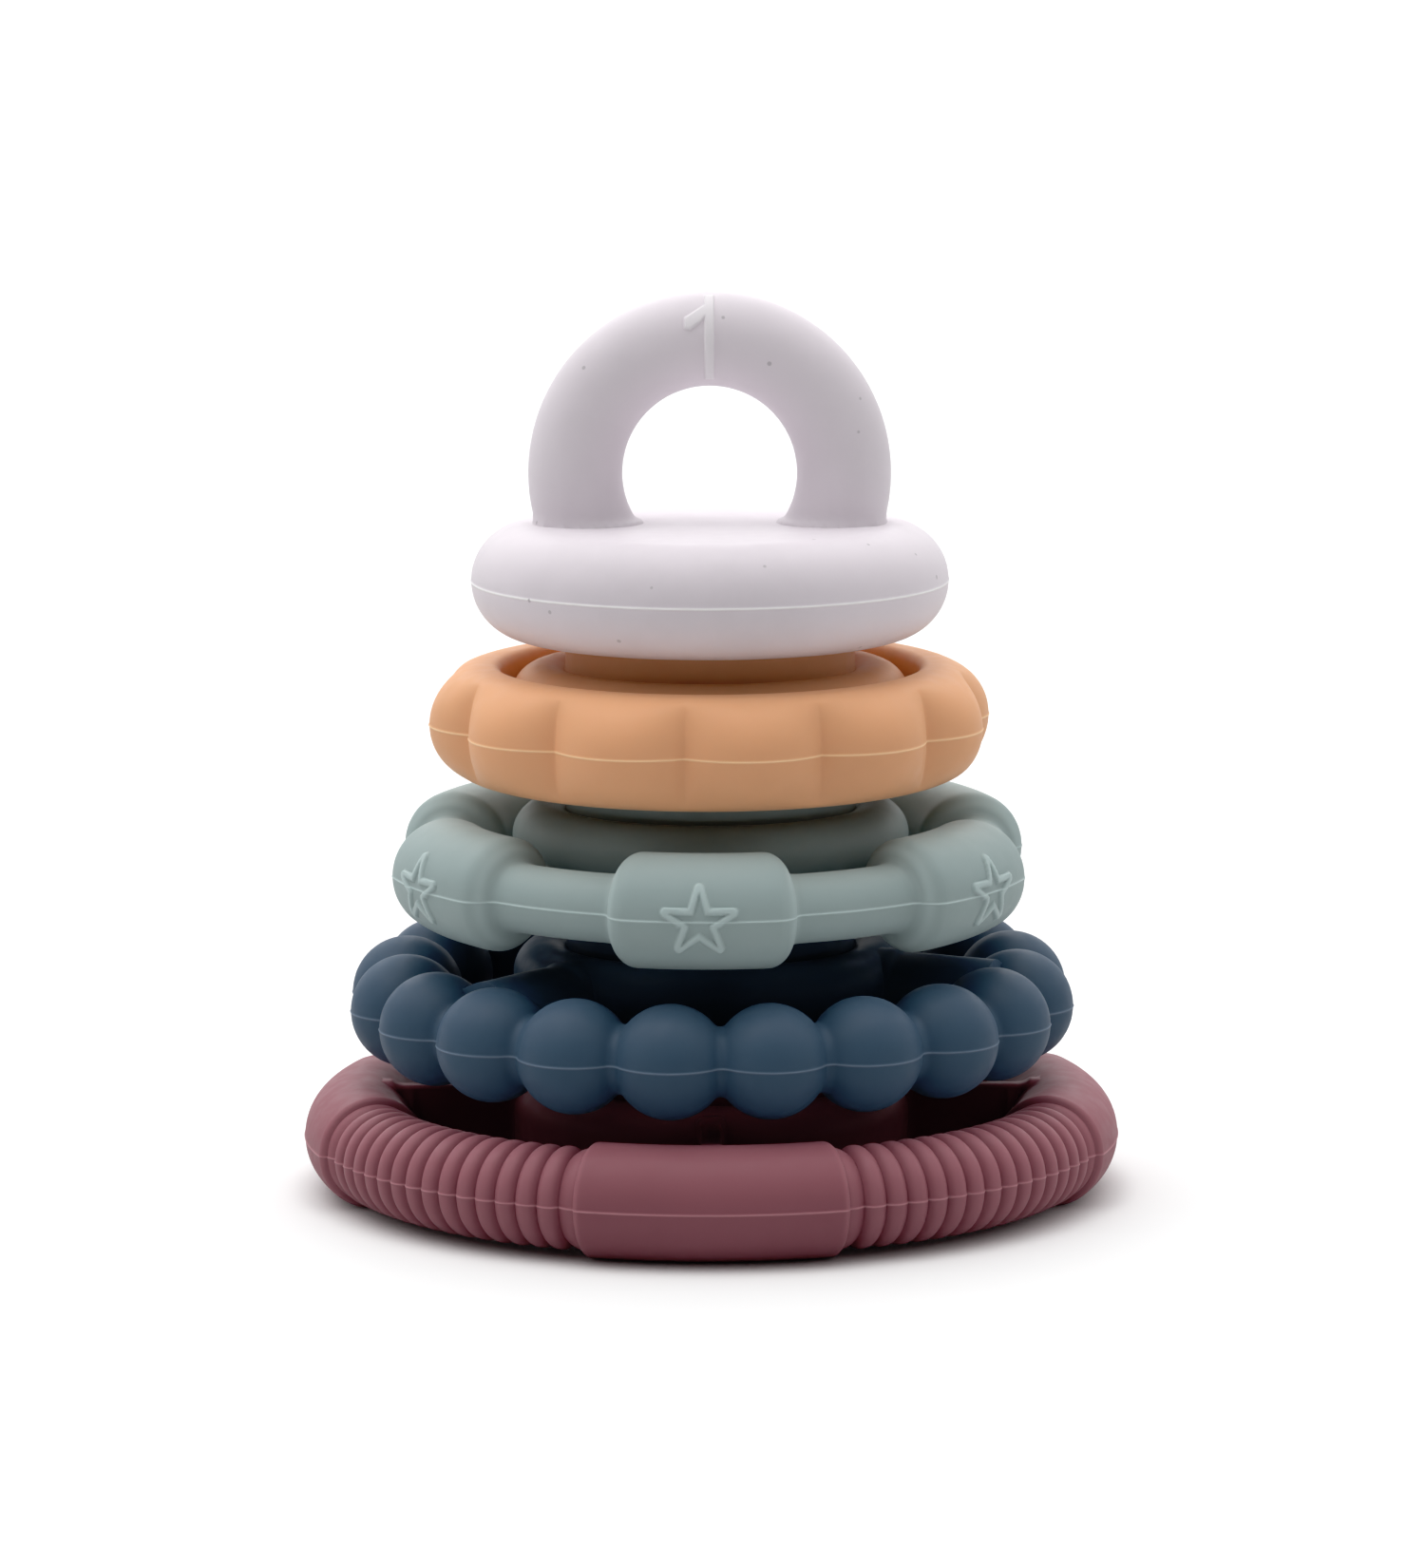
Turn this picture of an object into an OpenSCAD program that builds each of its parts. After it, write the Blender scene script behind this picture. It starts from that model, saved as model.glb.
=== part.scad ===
// Stacking ring toy in soft silicone: five mouldings that plug into one another.
// Each of the four lower pieces has a hub with a round boss on top and a socket
// underneath, and carries its own ring shape on arms. The top piece is a disc with
// a carrying loop. The boss of each piece stands in the socket of the piece above.
// Origin: middle of the underside, with +Z up and the front facing -Y.

/* [Stack] */
// Height from one parting plane to the next
level_pitch = 20.5; // [20:0.1:23]
// Half the height of every ring, and the height of the lowest parting plane
ring_half_h = 8.2; // [8:0.1:8.6]
// How far the parting line stands proud
seam_h = 0.15; // [0.05:0.05:0.3]
// Width of the parting line
seam_w = 0.4; // [0.2:0.1:0.8]

/* [Hub] */
// Outer radius of the hub's rolled rim
hub_r = 29.1; // [28.6:0.1:30]
// Radius of the roll round that rim
rim_r = 4.8; // [4.2:0.1:5.2]
// Top of the rim above the parting plane
rim_top = 8.3; // [7.8:0.1:9]
// Radius of the plain skirt below the rim
skirt_r = 24.8; // [24.2:0.1:26]
// Radius of the boss
boss_r = 21.2; // [19:0.1:21.6]
// Radius that breaks the boss's top edge
boss_edge_r = 1.2; // [0.5:0.1:2]
// Depth of the socket, which is how far a boss reaches into the piece above
socket_depth = 8; // [5:0.5:9]
// Gap between boss and socket, measured on the radius
socket_gap = 0.3; // [0.1:0.05:0.5]
// Thickness of the boss's wall and roof round its hollow core
core_wall = 3.6; // [2.5:0.1:6]

/* [Base ring] */
// Outer radius over the smooth pads
base_r = 60; // [58:0.5:66]
// How far the rib crests stay inside the pads
rib_drop = 0.9; // [0.5:0.1:1.5]
// Depth of the grooves between ribs
rib_depth = 0.9; // [0.4:0.1:1.5]
// Whole ribs between two pads
rib_count = 14; // [8:1:14]
// Angle from one rib to the next
rib_pitch = 3.3333; // [3:0.0001:3.4]
// Share of that angle that a rib takes up, the rest being groove
rib_share = 0.68; // [0.5:0.01:0.8]
// Angle from the middle of a pad to its end
base_pad_half = 19.2; // [14:0.1:19.5]
// Thickness of the four fins that join ring and hub
fin_w = 3; // [2:0.5:6]
// Top of the fins above the parting plane
fin_top = 6.9; // [4:0.1:7]

/* [Bead ring] */
// Number of beads
bead_count = 20; // [18:1:22]
// Radius of one bead
bead_r = 8.2; // [7.8:0.1:8.2]
// Radius of the circle through the beads' middles
bead_circle_r = 45.3; // [44:0.1:46.5]
// Radius of the tube that threads the beads together
bead_core_r = 4.8; // [3:0.1:6]
// How the piece happens to be turned about the boss
bead_turn = 1.7; // [-9:0.1:9]
// How far the beads hang below the middle of their hub
bead_droop = 0.6; // [0:0.1:1]
// Radius of the three round arms
bead_arm_r = 7.1; // [4:0.1:7.4]
// Direction of the first arm, measured from the front towards +X
bead_arm_turn = 72; // [0:1:120]

/* [Star ring] */
// Radius of the circle through the middle of the tube
star_circle_r = 39.7; // [38:0.1:40]
// Radius of the thin tube between pads
star_tube_r = 4.9; // [4:0.1:6]
// Number of pads
star_pad_count = 6; // [5:1:6]
// Angle from the middle of a pad to its end
star_pad_half = 17.5; // [12:0.1:18]
// How far the rounding at a pad's ends reaches along the pad, as an angle
star_pad_round = 1.5; // [1:0.1:3]
// How much thinner the pad is at its very ends
star_pad_step = 1; // [0.5:0.1:2]
// How the piece happens to be turned about the boss
star_turn = -1.3; // [-30:0.1:30]
// How far the pads hang below the middle of their hub
star_droop = 0.5; // [0:0.1:1]
// Outer radius of the star
star_r = 5.8; // [4:0.1:6.5]
// Width of the star's outline
star_line_w = 1.1; // [0.6:0.1:1.6]
// Radius of the star's inner corners as a share of its outer radius
star_inner_ratio = 0.46; // [0.4:0.01:0.55]
// How far the star's outline stands proud of its pad
star_h = 0.5; // [0.2:0.1:0.8]
// Radius of the three arms
star_arm_r = 4.4; // [3:0.1:4.8]
// How far the arms' centre lines lie below the pads'
star_arm_drop = 2; // [0:0.1:2.5]

/* [Scallop ring] */
// Outer radius over the lobes
lobe_tip_r = 41.4; // [40.5:0.1:42]
// Number of lobes
lobe_count = 12; // [10:1:12]
// Radius at the bottom of the grooves between lobes
groove_r = 37.9; // [37:0.1:39]
// Angle of each groove's sides from the radius
groove_half_angle = 53; // [45:1:55]
// Direction of the first groove, measured from the front towards +X
lobe_turn = -5.5; // [-15:0.1:15]
// Radius of the wall inside the channel round the hub
channel_r = 30.6; // [30.2:0.1:31]
// Floor of that channel above the parting plane
channel_floor = 3; // [0:0.5:5]

/* [Top piece] */
// Outer radius of the disc
disc_r = 34.9; // [33:0.1:38]
// Half the height of the disc
disc_half_h = 8.3; // [7.8:0.1:8.4]
// Radius of the loop's centre line
loop_r = 19.6; // [18:0.1:21]
// Thickness radius of the loop
loop_tube_r = 6.9; // [5:0.1:7.5]
// Middle of the loop above the parting plane
loop_rise = 15.6; // [14:0.1:18]
// Height of the raised numeral
numeral_h = 11; // [6:0.1:11]
// Width of the numeral's strokes
numeral_w = 1.4; // [0.6:0.1:2]
// How far the numeral stands proud
numeral_proud = 0.4; // [0.2:0.1:0.8]
// How far the middle of the numeral is above the loop's centre line
numeral_rise = 0.5; // [-1:0.1:1]
// How far the numeral's flag reaches to the side
flag_reach = 3.6; // [2:0.1:4]
// Drop from the numeral's top to the upper corner of the flag's end
flag_drop = 2.5; // [2:0.1:4]

/* [Hidden] */
$fn = 96;
// Overlap of solids that are joined end to end
eps = 0.01;
// How far a cutter runs past the face it opens
past = 1;

rose = "#8b5560";
slate = "#46586b";
sage = "#9db0ad";
tan = "#d8a378";
lilac = "#e2dce2";

// Parting planes from the bottom up
base_z = ring_half_h;
bead_z = base_z + level_pitch;
star_z = bead_z + level_pitch;
scallop_z = star_z + level_pitch;
top_z = scallop_z + level_pitch;

// Heights on a hub, from its parting plane
rim_z = rim_top - rim_r;
rim_circle_r = hub_r - rim_r;
boss_top = level_pitch - ring_half_h + socket_depth;
socket_top = socket_depth - ring_half_h;
socket_r = boss_r + socket_gap;
core_r = boss_r - core_wall;
core_top = boss_top - core_wall;

// Base ring
base_circle_r = base_r - ring_half_h;
rib_r = ring_half_h - rib_drop;
rib_root_r = rib_r - rib_depth;
rib_w = rib_share * rib_pitch;
pad_root_half = 45 - (rib_count + 1) / 2 * rib_pitch + rib_w / 2;
fin_end_r = base_circle_r - rib_root_r / 2;
side_count = 4;

// Arms start inside the hub's wall, with this much of it left round the socket
arm_cover = 1.2;
arm_start_r = socket_r + arm_cover;
arm_count = 3;
arm_step = 360 / arm_count;

// Bead ring: the arms' tops lie level with the beads' tops
bead_arm_z = ring_half_h - bead_arm_r - bead_droop;
bead_arm_end_r = bead_circle_r - bead_core_r / 2;

// Scallop ring
scallop_circle_r = lobe_tip_r - ring_half_h;

// Star badge: the hole keeps the outline's width where its sides run
star_points = 5;
star_arm_z = -star_droop - star_arm_drop;
star_arm_turn = star_turn + arm_step / 2;
star_tip_stretch = 1.9;
star_hole_r = star_r - star_tip_stretch * star_line_w;
star_body_half = star_pad_half - star_pad_round;

// Numeral
flag_w = 1.3 * numeral_w;

// A full ring, or the part of it from one angle to another
module tube_ring(circle_r, tube_r, from = 0, sweep = 360) {
    rotate([0, 0, from])
        rotate_extrude(angle = sweep)
            translate([circle_r, 0])
                circle(r = tube_r);
}

// The thin parting line round the outside of a ring
module seam_ring(circle_r, outer_r, from = 0, sweep = 360) {
    rotate([0, 0, from])
        rotate_extrude(angle = sweep)
            translate([circle_r, -seam_w / 2])
                square([outer_r + seam_h - circle_r, seam_w]);
}

// Outline of a hub and its boss, from the axis outwards
module hub_outline(low_r) {
    translate([0, -ring_half_h])
        square([low_r, ring_half_h + rim_z]);
    translate([rim_circle_r, rim_z])
        circle(r = rim_r);
    square([boss_r, boss_top - boss_edge_r]);
    square([boss_r - boss_edge_r, boss_top]);
    translate([boss_r - boss_edge_r, boss_top - boss_edge_r])
        circle(r = boss_edge_r);
}

module hub_body(low_r) {
    rotate_extrude()
        intersection() {
            hub_outline(low_r);
            translate([0, -2 * ring_half_h])
                square([2 * hub_r, 4 * level_pitch]);
        }
}

// The socket for the boss below
module socket_cut() {
    translate([0, 0, -ring_half_h - past])
        cylinder(r = socket_r, h = socket_depth + past);
}

// The socket, and the hollow that runs on from it up inside the boss
module hub_cut() {
    socket_cut();
    translate([0, 0, socket_top - eps])
        cylinder(r = core_r, h = core_top - socket_top + eps);
}

// Puts a child on a radius, aimed from the front towards +X
module aimed(turn) {
    rotate([0, 0, turn - 90])
        children();
}

module round_arm(turn, r, z, end_r) {
    aimed(turn)
        translate([arm_start_r, 0, z])
            rotate([0, 90, 0])
                cylinder(r = r, h = end_r - arm_start_r);
}

module base_ribs() {
    first_rib = 45 - (rib_count - 1) / 2 * rib_pitch - rib_w / 2;
    for (side = [0 : side_count - 1])
        for (k = [0 : rib_count - 1])
            tube_ring(base_circle_r, rib_r, 90 * side + first_rib + k * rib_pitch, rib_w);
}

module base_pads() {
    for (side = [0 : side_count - 1]) {
        tube_ring(base_circle_r, ring_half_h, 90 * side - base_pad_half, 2 * base_pad_half);
        tube_ring(base_circle_r, rib_r, 90 * side - pad_root_half, 2 * pad_root_half);
        seam_ring(base_circle_r, base_r, 90 * side - base_pad_half, 2 * base_pad_half);
    }
}

module base_fins() {
    for (side = [0 : side_count - 1])
        rotate([0, 0, 90 * side])
            translate([arm_start_r, -fin_w / 2, -ring_half_h])
                cube([fin_end_r - arm_start_r, fin_w, ring_half_h + fin_top]);
}

module base_ring() {
    color(rose)
        translate([0, 0, base_z])
            difference() {
                union() {
                    tube_ring(base_circle_r, rib_root_r);
                    base_ribs();
                    base_pads();
                    seam_ring(base_circle_r, base_r - rib_drop);
                    base_fins();
                    hub_body(hub_r);
                }
                hub_cut();
            }
}

module bead(turn) {
    aimed(turn)
        translate([bead_circle_r, 0, 0]) {
            sphere(r = bead_r);
            translate([0, 0, -seam_w / 2])
                cylinder(r = bead_r + seam_h, h = seam_w);
        }
}

module bead_ring() {
    color(slate)
        translate([0, 0, bead_z])
            difference() {
                union() {
                    translate([0, 0, -bead_droop]) {
                        tube_ring(bead_circle_r, bead_core_r);
                        for (k = [0 : bead_count - 1])
                            bead(bead_turn + (k + 0.5) * 360 / bead_count);
                    }
                    for (k = [0 : arm_count - 1])
                        round_arm(bead_arm_turn + k * arm_step, bead_arm_r, bead_arm_z, bead_arm_end_r);
                    hub_body(skirt_r);
                }
                hub_cut();
            }
}

// Corners of a five-point star, with one point up
function star_corners(r) = [
    for (k = [0 : 2 * star_points - 1])
        let (a = 90 + 180 * k / star_points, q = k % 2 == 0 ? r : r * star_inner_ratio)
            [q * cos(a), q * sin(a)]
];

// The star's outline, standing on a pad that faces +X
module star_badge() {
    intersection() {
        tube_ring(star_circle_r, ring_half_h + star_h, -star_pad_half, 2 * star_pad_half);
        translate([star_circle_r, 0, 0])
            rotate([90, 0, 90])
                linear_extrude(height = 2 * ring_half_h)
                    difference() {
                        polygon(star_corners(star_r));
                        polygon(star_corners(star_hole_r));
                    }
    }
}

module star_pad(turn) {
    aimed(turn) {
        tube_ring(star_circle_r, ring_half_h, -star_body_half, 2 * star_body_half);
        tube_ring(star_circle_r, ring_half_h - star_pad_step, -star_pad_half, 2 * star_pad_half);
        seam_ring(star_circle_r, star_circle_r + ring_half_h, -star_body_half, 2 * star_body_half);
        star_badge();
    }
}

module star_ring() {
    color(sage)
        translate([0, 0, star_z])
            difference() {
                union() {
                    translate([0, 0, -star_droop]) {
                        tube_ring(star_circle_r, star_tube_r);
                        seam_ring(star_circle_r, star_circle_r + star_tube_r);
                        for (k = [0 : star_pad_count - 1])
                            star_pad(star_turn + 360 * k / star_pad_count);
                    }
                    for (k = [0 : arm_count - 1])
                        round_arm(star_arm_turn + k * arm_step, star_arm_r, star_arm_z, star_circle_r);
                    hub_body(skirt_r);
                }
                hub_cut();
            }
}

// Upright V-shaped cutters between the lobes, each with its point on a radius
module lobe_grooves(point_r) {
    reach = lobe_tip_r - point_r + 2 * past;
    flare = reach * tan(groove_half_angle);
    for (k = [0 : lobe_count - 1])
        aimed(lobe_turn + 360 * k / lobe_count)
            translate([point_r, 0, -ring_half_h - past])
                linear_extrude(height = 2 * (ring_half_h + past))
                    polygon([[0, 0], [reach, -flare], [reach, flare]]);
}

module scallop_body() {
    difference() {
        tube_ring(scallop_circle_r, ring_half_h);
        lobe_grooves(groove_r);
    }
    difference() {
        seam_ring(scallop_circle_r, lobe_tip_r);
        lobe_grooves(groove_r + seam_h);
    }
}

module scallop_ring() {
    color(tan)
        translate([0, 0, scallop_z])
            difference() {
                union() {
                    difference() {
                        scallop_body();
                        translate([0, 0, channel_floor])
                            cylinder(r = channel_r, h = ring_half_h);
                    }
                    hub_body(skirt_r);
                }
                hub_cut();
            }
}

module top_disc() {
    rotate_extrude() {
        translate([0, -disc_half_h])
            square([disc_r - disc_half_h, 2 * disc_half_h]);
        translate([disc_r - disc_half_h, 0])
            circle(r = disc_half_h);
    }
    seam_ring(disc_r - disc_half_h, disc_r);
}

module loop_ring(tube_r) {
    translate([0, 0, loop_rise])
        rotate([90, 0, 0])
            tube_ring(loop_r, tube_r);
}

// The numeral 1, a stroke with a flag at its upper left
module numeral_outline() {
    half_w = numeral_w / 2;
    half_h = numeral_h / 2;
    translate([-half_w, -half_h])
        square([numeral_w, numeral_h]);
    polygon([
        [half_w, half_h],
        [-half_w, half_h],
        [-flag_reach, half_h - flag_drop],
        [-flag_reach, half_h - flag_drop - flag_w],
        [half_w, half_h - flag_w]
    ]);
}

module numeral() {
    intersection() {
        loop_ring(loop_tube_r + numeral_proud);
        translate([0, 0, loop_rise + loop_r + numeral_rise])
            rotate([90, 0, 0])
                linear_extrude(height = 2 * loop_tube_r)
                    numeral_outline();
    }
}

module top_handle() {
    color(lilac)
        translate([0, 0, top_z])
            difference() {
                union() {
                    top_disc();
                    difference() {
                        loop_ring(loop_tube_r);
                        translate([-2 * disc_r, -2 * disc_r, -4 * disc_r])
                            cube([4 * disc_r, 4 * disc_r, 4 * disc_r]);
                    }
                    numeral();
                }
                translate([0, 0, -disc_half_h - past])
                    cylinder(r = socket_r, h = socket_top + disc_half_h + past);
            }
}

base_ring();
bead_ring();
star_ring();
scallop_ring();
top_handle();
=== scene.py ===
"""Looks for the stacking ring toy: five silicone mouldings, each one closed mesh on its CAD node.

Sizes are in millimetres and angles in degrees unless a comment says otherwise. Turns about the
toy's axis run from the front towards +X. Meshes are made in metres, in the frame's own axes.
"""

import math

import bpy
import numpy as np
from mathutils import Matrix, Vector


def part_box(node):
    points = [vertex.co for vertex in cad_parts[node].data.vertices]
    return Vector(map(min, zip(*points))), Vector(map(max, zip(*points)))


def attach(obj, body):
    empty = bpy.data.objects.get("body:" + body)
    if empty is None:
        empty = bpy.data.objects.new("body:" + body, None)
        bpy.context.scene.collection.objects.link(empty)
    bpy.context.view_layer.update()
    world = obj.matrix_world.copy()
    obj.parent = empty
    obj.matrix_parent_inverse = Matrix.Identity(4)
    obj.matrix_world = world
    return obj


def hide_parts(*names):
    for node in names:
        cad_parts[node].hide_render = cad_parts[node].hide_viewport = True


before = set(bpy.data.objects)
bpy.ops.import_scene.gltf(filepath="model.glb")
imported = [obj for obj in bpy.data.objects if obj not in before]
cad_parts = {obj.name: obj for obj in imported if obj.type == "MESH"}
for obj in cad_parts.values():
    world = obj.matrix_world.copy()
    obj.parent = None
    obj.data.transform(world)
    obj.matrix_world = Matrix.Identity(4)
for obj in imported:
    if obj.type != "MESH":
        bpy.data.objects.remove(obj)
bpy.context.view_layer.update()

MM = 0.001
TAU = 2 * math.pi
NEARLY_ZERO = 1e-9

# Sizes shared by all pieces, as in the CAD source
HALF_H = 8.2
BOSS_TOP = 20.3
BOSS_R = 21.2
BOSS_EDGE_R = 1.2
SOCKET_R = 21.5
SOCKET_DEPTH = 8.0
CORE_R = 17.6
CORE_TOP = 16.7
HUB_R = 29.1
RIM_R = 4.8
RIM_TOP = 8.3
SKIRT_R = 24.8

# Small roundings and overlaps shared by all pieces
CORE_ROUND = 1.5
SOCKET_ROUND = 0.8
FOOT_ROUND = 0.6
BOSS_FLARE = 0.15
SKIRT_FLARE = 0.15
ARM_SINKS = 0.4
FILLET_STEEPEST = 0.12

# The moulded parting line: a ridge this high, falling away over this width
SEAM_H = 0.12
SEAM_W = 0.14

# How closely the meshes are divided: angles round a tube, and counts of steps round a ring
SEAM_ROWS = (-3.2, -2.0, -1.2, -0.6, 0, 0.6, 1.2, 2.0, 3.2)
SEAM_END = 4.5
PLAIN_ROWS_FROM = 5
PLAIN_ROW_STEP = 4.6
COARSE_ROW_STEP = 5
HUB_STEPS = 240
DISC_STEPS = 256
ARM_STEPS = 40
SHARP_ANGLE = 42


# ---------------------------------------------------------------- numbers


def ramp(low, high, x):
    """0 at low, 1 at high, a smooth change between them and level beyond. Low may be above high."""
    t = np.clip((x - low) / (high - low), 0, 1)
    return t * t * (3 - 2 * t)


def fillet(distance, radius):
    """How far a concave fillet stands out at a distance from the face it runs into."""
    d = np.clip(distance, FILLET_STEEPEST * radius, radius)
    return radius - np.sqrt(radius * radius - (radius - d) ** 2)


def fold(angle, period):
    """Signed angle to the nearest multiple of period."""
    return (angle + period / 2) % period - period / 2


def seam(height):
    """Share of the thin parting ridge at a height from the parting plane."""
    return np.exp(-((height / SEAM_W) ** 2))


def spread(low, high, step):
    """Even values from low up to but not including high, about step apart."""
    count = max(1, round((high - low) / step))
    return list(low + (high - low) * np.arange(count) / count)


def tube_rows(fine_half=0, fine_step=1):
    """Angles in radians round a tube, 0 outwards and a quarter turn up, close together at the seam.

    With fine_half, the rows up to that angle either side of the seam are fine_step apart.
    """
    seam_rows = list(SEAM_ROWS)
    if not fine_half:
        plain_rows = spread(PLAIN_ROWS_FROM, 360 - PLAIN_ROWS_FROM, PLAIN_ROW_STEP)
        return np.radians(seam_rows + plain_rows)
    upper = spread(SEAM_END, fine_half, fine_step) + spread(fine_half, 180, COARSE_ROW_STEP)
    lower = spread(180, 360 - fine_half, COARSE_ROW_STEP)
    lower += spread(360 - fine_half, 360 - SEAM_END, fine_step)
    return np.radians(seam_rows + upper + lower)


# ---------------------------------------------------------------- meshes


def make_object(name, points, faces, crest):
    """A mesh object whose points say how far each lies on a crest, 0 to 1, which the material
    paints as a highlight.
    """
    mesh = bpy.data.meshes.new(name)
    mesh.from_pydata((np.asarray(points) * MM).tolist(), [], faces)
    values = mesh.attributes.new("crest", "FLOAT", "POINT")
    values.data.foreach_set("value", np.broadcast_to(crest, len(points)).astype(np.float32))
    obj = bpy.data.objects.new(name, mesh)
    bpy.context.scene.collection.objects.link(obj)
    return obj


def grid_faces(rows, columns, wrap_rows):
    """Quads of a grid of points whose columns close on themselves, and whose rows do if asked."""
    last = rows if wrap_rows else rows - 1
    i = np.arange(last)[:, None]
    j = np.arange(columns)[None, :]
    i2, j2 = (i + 1) % rows, (j + 1) % columns
    quads = np.stack([i * columns + j, i2 * columns + j, i2 * columns + j2, i * columns + j2], -1)
    return quads.reshape(-1, 4).tolist()


def ring_object(name, r, z, azimuth, crest):
    """A closed ring, from its radius and height at each azimuth (rows) and tube angle (columns)."""
    points = np.stack([r * np.sin(azimuth), -r * np.cos(azimuth), z], -1)
    crest = np.broadcast_to(crest, r.shape).reshape(-1)
    return make_object(name, points.reshape(-1, 3), grid_faces(*r.shape, True), crest)


def tube_object(name, points, crest=0.0):
    """A capped tube from its rings of points."""
    rings, around = points.shape[:2]
    faces = grid_faces(rings, around, False)
    faces.append(list(range(around)))
    faces.append([(rings - 1) * around + k for k in range(around - 1, -1, -1)])
    return make_object(name, points.reshape(-1, 3), faces, crest)


def lathe_object(name, profile, steps, crest_at=None):
    """A solid of revolution from (radius, height) points that start and end on the axis."""
    inner = np.array(profile[1:-1])
    angle = TAU * np.arange(steps) / steps
    r, z = inner[None, :, 0], inner[None, :, 1] + 0 * angle[:, None]
    ring = np.stack([r * np.sin(angle)[:, None], -r * np.cos(angle)[:, None], z], -1)
    count = len(inner)
    points = np.vstack([ring.reshape(-1, 3), [[0, 0, profile[0][1]], [0, 0, profile[-1][1]]]])
    faces = []
    for i in range(steps):
        j = (i + 1) % steps
        faces.append([steps * count, i * count, j * count])
        faces.append([steps * count + 1, j * count + count - 1, i * count + count - 1])
        for k in range(count - 1):
            faces.append([i * count + k, i * count + k + 1, j * count + k + 1, j * count + k])
    crest = crest_at(np.hypot(points[:, 0], points[:, 1]), points[:, 2]) if crest_at else 0.0
    return make_object(name, points, faces, crest)


def point_array(mesh):
    """A mesh's points as an array, one row each, in metres."""
    co = np.empty(len(mesh.vertices) * 3)
    mesh.vertices.foreach_get("co", co)
    return co.reshape(-1, 3)


def face_outwards(obj):
    """Turns a closed mesh's faces outwards."""
    mesh = obj.data
    mesh.calc_loop_triangles()
    co = point_array(mesh)
    tri = np.array([t.vertices[:] for t in mesh.loop_triangles])
    a, b, c = co[tri[:, 0]], co[tri[:, 1]], co[tri[:, 2]]
    if np.einsum("ij,ij->i", a, np.cross(b, c)).sum() < 0:
        mesh.flip_normals()


def sag(obj, droop, lean, outer_r):
    """Lets the soft ring round a hub hang a little, most at the front, and fully past outer_r."""
    co = point_array(obj.data)
    x, y = co[:, 0] / MM, co[:, 1] / MM
    weight = ramp(HUB_R, outer_r, np.hypot(x, y))
    co[:, 2] -= weight * (droop - lean * y / outer_r) * MM
    obj.data.vertices.foreach_set("co", co.reshape(-1))


def unite(name, parts, height):
    """Joins closed parts into one closed mesh, lifts it to its height and smooths it."""
    for part in parts:
        face_outwards(part)
    base = parts[0]
    for part in parts[1:]:
        join = base.modifiers.new("join", "BOOLEAN")
        join.operation = "UNION"
        join.solver = "MANIFOLD"
        join.object = part
        joined = base.evaluated_get(bpy.context.evaluated_depsgraph_get())
        mesh = bpy.data.meshes.new_from_object(joined)
        base.modifiers.clear()
        base.data = mesh
        bpy.data.objects.remove(part)
    for vertex in base.data.vertices:
        vertex.co.z += height * MM
    base.name = name
    base.data.name = name
    base.data.set_sharp_from_angle(angle=math.radians(SHARP_ANGLE))
    base.data.polygons.foreach_set("use_smooth", [True] * len(base.data.polygons))
    return base


def plane_of(node):
    """Height of a piece's parting plane, below the top of its boss."""
    _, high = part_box(node)
    return high.z / MM - BOSS_TOP


# ---------------------------------------------------------------- hubs and arms


def arc(cx, cz, radius, start, end, steps):
    """(radius, height) points along an arc, angles in degrees."""
    return [
        (cx + radius * math.cos(math.radians(a)), cz + radius * math.sin(math.radians(a)))
        for a in np.linspace(start, end, steps)
    ]


# Where the arc over a hub's rim starts, past its crossing with the skirt, and where it ends
RIM_ARC_STARTS = 4
RIM_ARC_ENDS = 122

# How far above the rim's middle the boss's flared foot ends and its straight side starts
BOSS_FOOT = 3.85
BOSS_SIDE = 4.5
BOSS_ROWS_FROM = 5.4


def hub_profile(low_r):
    """A hub's outline: down its hollow core and socket, then up over its rim and its boss."""
    rim_z = RIM_TOP - RIM_R
    rim_x = HUB_R - RIM_R
    roof = SOCKET_DEPTH - HALF_H
    foot = FOOT_ROUND - HALF_H
    points = [(0, CORE_TOP)]
    points += arc(CORE_R - CORE_ROUND, CORE_TOP - CORE_ROUND, CORE_ROUND, 90, 0, 6)
    points += [(CORE_R, z) for z in np.linspace(CORE_TOP - 2 * CORE_ROUND, roof, 6)]
    points += arc(SOCKET_R - SOCKET_ROUND, roof - SOCKET_ROUND, SOCKET_ROUND, 90, 0, 5)
    points += [(SOCKET_R, z) for z in np.linspace(roof - 2 * SOCKET_ROUND, foot, 4)]
    points += arc(SOCKET_R + FOOT_ROUND, foot, FOOT_ROUND, 180, 270, 5)[1:]
    points += arc(low_r - FOOT_ROUND, foot, FOOT_ROUND, 270, 360, 5)
    side_from = foot + 2 * FOOT_ROUND
    if low_r < HUB_R:
        start = -math.degrees(math.acos((low_r - rim_x) / RIM_R)) + RIM_ARC_STARTS
        points += [(low_r, z) for z in np.linspace(side_from, rim_z - RIM_R - 0.6, 4)]
        points += [(low_r + SKIRT_FLARE, rim_z - RIM_R - 0.1)]
    else:
        start = 0
        points += [(low_r, z) for z in np.linspace(side_from, rim_z - 0.8, 8)]
    points += arc(rim_x, rim_z, RIM_R, start, RIM_ARC_ENDS, 26)
    points += [(BOSS_R + BOSS_FLARE, rim_z + BOSS_FOOT), (BOSS_R, rim_z + BOSS_SIDE)]
    points += [(BOSS_R, z) for z in np.linspace(rim_z + BOSS_ROWS_FROM, BOSS_TOP - BOSS_EDGE_R, 8)]
    points += arc(BOSS_R - BOSS_EDGE_R, BOSS_TOP - BOSS_EDGE_R, BOSS_EDGE_R, 0, 90, 7)[1:]
    points += [(x, BOSS_TOP) for x in (16, 12, 8, 4)]
    points += [(0, BOSS_TOP)]
    return points


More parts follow.
